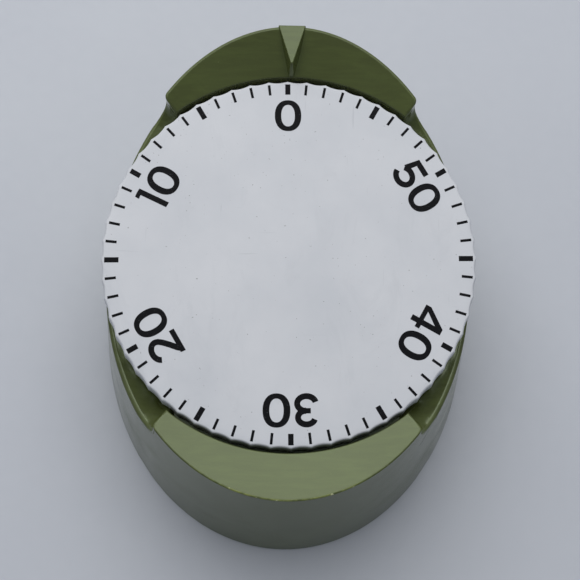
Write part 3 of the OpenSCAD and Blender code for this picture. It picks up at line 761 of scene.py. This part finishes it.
def arc(centre, rx, ry, start, end, steps, power=2.0):
    """Points along an ellipse, or a squarer oval where power is over 2, between two angles in degrees."""
    points = []
    for angle in spread(math.radians(start), math.radians(end), steps):
        c, s = math.cos(angle), math.sin(angle)
        x = math.copysign(abs(c) ** (2 / power), c)
        y = math.copysign(abs(s) ** (2 / power), s)
        points.append((centre[0] + rx * x, centre[1] + ry * y))
    return points


def oval_ring(centre, rx, ry, side, cap_t):
    """An upright ring of quads, side thick at its sides and cap_t thick at its top and bottom."""
    steps, squareness = 48, 2.25
    outer = arc(centre, rx, ry, 0, 360, steps, squareness)
    inner = arc(centre, rx - side, ry - cap_t, 0, 360, steps, squareness)
    return [[outer[i], outer[i + 1], inner[i + 1], inner[i]] for i in range(steps)]


def digit(n):
    """Faces of a digit, DIGIT_H tall and standing on y = 0, and its width."""
    h, w = DIGIT_H, STROKE
    if n == 0:
        return oval_ring((2.75, h / 2), 2.75, h / 2, 1.33, 1.02), 5.5
    if n == 1:
        flag = [(0, h - 1.05), (0.95, h - 0.9), (0.95, h), (0, h - 0.12)]
        return [flag, [(1.25, 0), (2.4, 0), (1.95, h), (0.8, h)]], 2.45
    if n == 2:
        bowl = arc((2.5, h - 2.05), 1.9, 1.47, 165, -8, 22)
        down = [(4.2, h - 2.75), (3.65, h - 3.45), (2.6, 2.3), (1.3, 1.2), (0.75, 0.55)]
        return ribbon(bowl + down, w) + [[(0, 0), (5, 0), (5, 1.08), (0.1, 1.08)]], 5.0
    if n == 3:
        upper = ribbon(arc((2.4, h - 1.95), 1.7, 1.37, 165, -88, 24), w)
        lower = ribbon(arc((2.4, 2.05), 1.85, 1.47, 88, -168, 26), w)
        stub = [[(1.55, h / 2 - 0.42), (2.6, h / 2 - 0.42), (2.6, h / 2 + 0.62), (1.55, h / 2 + 0.62)]]
        return upper + lower + stub, 4.95
    if n == 4:
        stem = [(3.1, 0), (4.25, 0), (4.25, h), (3.1, h)]
        bar = [(0, 1.45), (5.1, 1.45), (5.1, 2.45), (0, 2.45)]
        slant = [(0, 1.9), (0, 2.6), (3.0, h), (4.25, h), (3.35, h - 1.4), (1.1, 2.4), (1.1, 1.9)]
        return [stem, bar, slant], 5.1
    # What is left is 5, the highest digit on the dial.
    top = [(0.95, h), (4.6, h), (4.6, h - 1.15), (0.95, h - 1.15)]
    side = [(0.95, h), (1.95, h), (1.6, h - 3.0), (0.33, h - 3.3)]
    bowl = ribbon(arc((2.35, 2.2), 1.95, 1.6, 142, -160, 28), w)
    return [top, side] + bowl, 4.95


def tick_faces(minute):
    """The mark of one minute, pointing up the Y axis."""
    is_bold = minute % 5 == 0
    is_long = is_bold and minute % 10 != 0
    half_w = BOLD_TICK_HALF_W if is_bold else TICK_HALF_W
    inner = LONG_TICK_INNER_R if is_long else TICK_INNER_R
    return [[(-half_w, inner), (half_w, inner), (half_w, TICK_OUTER_R), (-half_w, TICK_OUTER_R)]]


def numeral_faces(minute):
    """The numeral of one ten-minute mark, its top pointing up the Y axis."""

    def place(px, py):
        return px * NUMERAL_SCALE, NUMERAL_R + (py - DIGIT_H / 2) * NUMERAL_SCALE

    digits = [digit(int(d)) for d in str(minute)]
    width = sum(w for _, w in digits) + DIGIT_GAP * (len(digits) - 1)
    x, faces = -width / 2, []
    for shapes, w in digits:
        faces += [[place(x + px, py) for px, py in face] for face in shapes]
        x += w + DIGIT_GAP
    return faces


def ink_slab(bm, faces, turn):
    """Adds a thin slab of ink with the outline of all those faces together, turned about the dial's axis."""
    corners, loops = [], []
    for face in faces:
        outline = [Vector(p) for p in face]
        area_sum = sum(a.x * b.y - b.x * a.y for a, b in zip(outline, outline[1:] + outline[:1]))
        loops.append(list(range(len(corners), len(corners) + len(face))))
        corners += outline if area_sum > 0 else outline[::-1]
    inside_only, weld = 1, 1e-5
    points, _, triangles, _, _, sources = delaunay_2d_cdt(corners, [], loops, inside_only, weld)
    found = [f for f, source in zip(triangles, sources) if source]
    spin = Matrix.Rotation(turn, 3, "Z")
    low = [bm.verts.new(spin @ Vector((p.x, p.y, INK_FOOT))) for p in points]
    high = [bm.verts.new(spin @ Vector((p.x, p.y, INK_TOP))) for p in points]
    for f in found:
        bm.faces.new([high[i] for i in f])
        bm.faces.new([low[i] for i in reversed(f)])
    sides = [side for f in found for side in zip(f, f[1:] + f[:1])]
    known = set(sides)
    for a, b in sides:
        if (b, a) not in known:
            bm.faces.new((high[a], low[a], low[b], high[b]))


def ink_piece(name, bm):
    """Makes an object of the ink slabs, without stray points and flat seams."""
    loose = [v for v in bm.verts if not v.link_faces]
    bmesh.ops.delete(bm, geom=loose, context="VERTS")
    bmesh.ops.recalc_face_normals(bm, faces=bm.faces)
    bmesh.ops.dissolve_limit(bm, angle_limit=0.01, verts=bm.verts, edges=bm.edges)
    return piece(name, bm, "dial", INK, DIAL_FRAME)


def make_print():
    """Sixty ticks and six numerals, climbing anticlockwise, as the dial turns under a fixed pointer."""
    step = 2 * math.pi / 60
    zero = DIAL_ZERO - math.pi / 2
    ticks, numerals = bmesh.new(), bmesh.new()
    for minute in range(60):
        ink_slab(ticks, tick_faces(minute), zero + minute * step)
    for minute in range(0, 60, 10):
        ink_slab(numerals, numeral_faces(minute), zero + minute * step)
    ink_piece("dial_ticks", ticks)
    ink_piece("dial_numerals", numerals)


# ---- The click's spring ----


def make_click_spring():
    """A post on the great wheel, and a straight blade of spring steel that is given no body."""
    orbit, azimuth, top_z = 15, math.radians(24), -24
    post_r, post_h, chamfer = 1.0, 1.4, 0.1
    blade_run, half_t, blade_h = 5.2, 0.15, 0.8
    post_at = polar(orbit, azimuth, top_z)
    material = MATERIALS["spring_steel"]
    turned = bmesh.new()
    narrow = post_r - chamfer
    rings = [(narrow, -post_h), (post_r, chamfer - post_h), (post_r, -chamfer), (narrow, 0)]
    add_turned(turned, post_at, rings, facets=32)
    post = piece("click_spring_post", turned, "great_wheel", material, DIAL_FRAME)
    strip = bmesh.new()
    corners = [(-half_t, -blade_h), (half_t, -blade_h), (half_t, 0), (-half_t, 0)]
    rows = [[post_at + Vector((-blade_run * t, y, z)) for y, z in corners] for t in spread(0, 1, 24)]
    add_closed_tube(strip, rows)
    blade = piece("click_spring_blade", strip, None, material, DIAL_FRAME)
    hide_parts("click_spring")
    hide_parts("click_spring")
    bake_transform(blade)


# ---- CAD nodes that stay ----


def dress_cad_nodes():
    """Gives every CAD node the material of its slot in the record."""
    for part in frame["record"]["subparts"]:
        obj = frame["nodes"][part["node"]]
        obj.data.materials.clear()
        obj.data.materials.append(MATERIALS[part["material_slot"]])
    for name in ("base_cover", "base_screws"):
        bevel = frame["nodes"][name].modifiers.new("soft_edges", "BEVEL")
        bevel.limit_method = "ANGLE"
        bevel.width = COVER_EDGE_R * MM
        bevel.segments = 2


# ---- Floor, light and camera ----


def make_floor():
    g = Graph("table")
    cloud = g.span(g.noise(90, 3, seed=2), 0.3, 0.7)
    base = g.mix(cloud, rgb(190, 193, 200), rgb(195, 198, 204))
    g.set(Base_Color=base, Roughness=g.span(g.noise(3, 3), 0.3, 0.7, 0.5, 0.6))
    bm = bmesh.new()
    half_size, top_z, squares = 3000, -0.05, 8
    just_below = Matrix.Translation((0, 0, top_z))
    bmesh.ops.create_grid(bm, x_segments=squares, y_segments=squares, size=half_size, matrix=just_below)
    bm.transform(TO_METRES)
    mesh = bpy.data.meshes.new("table")
    bm.to_mesh(mesh)
    bm.free()
    mesh.materials.append(g.material)
    floor = bpy.data.objects.new("table", mesh)
    bpy.context.scene.collection.objects.link(floor)


def soft_light(name, place, target, size, power, colour=(1, 1, 1)):
    """A rectangular softbox at a place, aimed at a target. size is its width and its height."""
    data = bpy.data.lights.new(name, "AREA")
    data.shape = "RECTANGLE"
    data.size, data.size_y = size
    data.energy = power
    data.color = colour
    light = bpy.data.objects.new(name, data)
    bpy.context.scene.collection.objects.link(light)
    light.location = place
    light.rotation_euler = (Vector(target) - Vector(place)).to_track_quat("-Z", "Y").to_euler()


def make_light():
    """Two softboxes and a dim bluish sky, placed in metres."""
    world = bpy.data.worlds.new("studio")
    world.use_nodes = True
    background = world.node_tree.nodes["Background"]
    background.inputs["Color"].default_value = (0.78, 0.86, 1.0, 1.0)
    background.inputs["Strength"].default_value = 0.22
    bpy.context.scene.world = world
    middle = (0, 0, 0.03)
    soft_light("overhead", (-0.05, 0.36, 0.8), middle, (1.1, 1.0), 7.2)
    soft_light("back_fill", (-0.4, 1.2, 0.9), middle, (1.4, 0.8), 2.6, (0.95, 0.98, 1.0))


def make_camera():
    """The camera stands nearly square to the dial, a little in front of it. Its place is in tick radii."""
    place = Vector((-0.135, -1.305, 5.955)) * (TICK_R * MM)
    spin, tip, round_dial = 0.0228, -0.1874, math.radians(0.85)
    turn = Matrix.Rotation(spin, 4, "Y") @ Matrix.Rotation(tip, 4, "X")
    data = bpy.data.cameras.new("camera")
    data.lens = 67.5
    data.clip_start, data.clip_end = 0.01, 20
    camera = bpy.data.objects.new("camera", data)
    bpy.context.scene.collection.objects.link(camera)
    about_dial = Matrix.Rotation(round_dial, 4, "Z")
    camera.matrix_world = DIAL_FRAME @ about_dial @ Matrix.Translation(place) @ turn.inverted()
    bpy.context.scene.camera = camera


make_casing()
make_bosses()
make_dial()
make_print()
make_click_spring()
dress_cad_nodes()
make_floor()
make_light()
make_camera()
bpy.context.scene.view_settings.view_transform = "Standard"
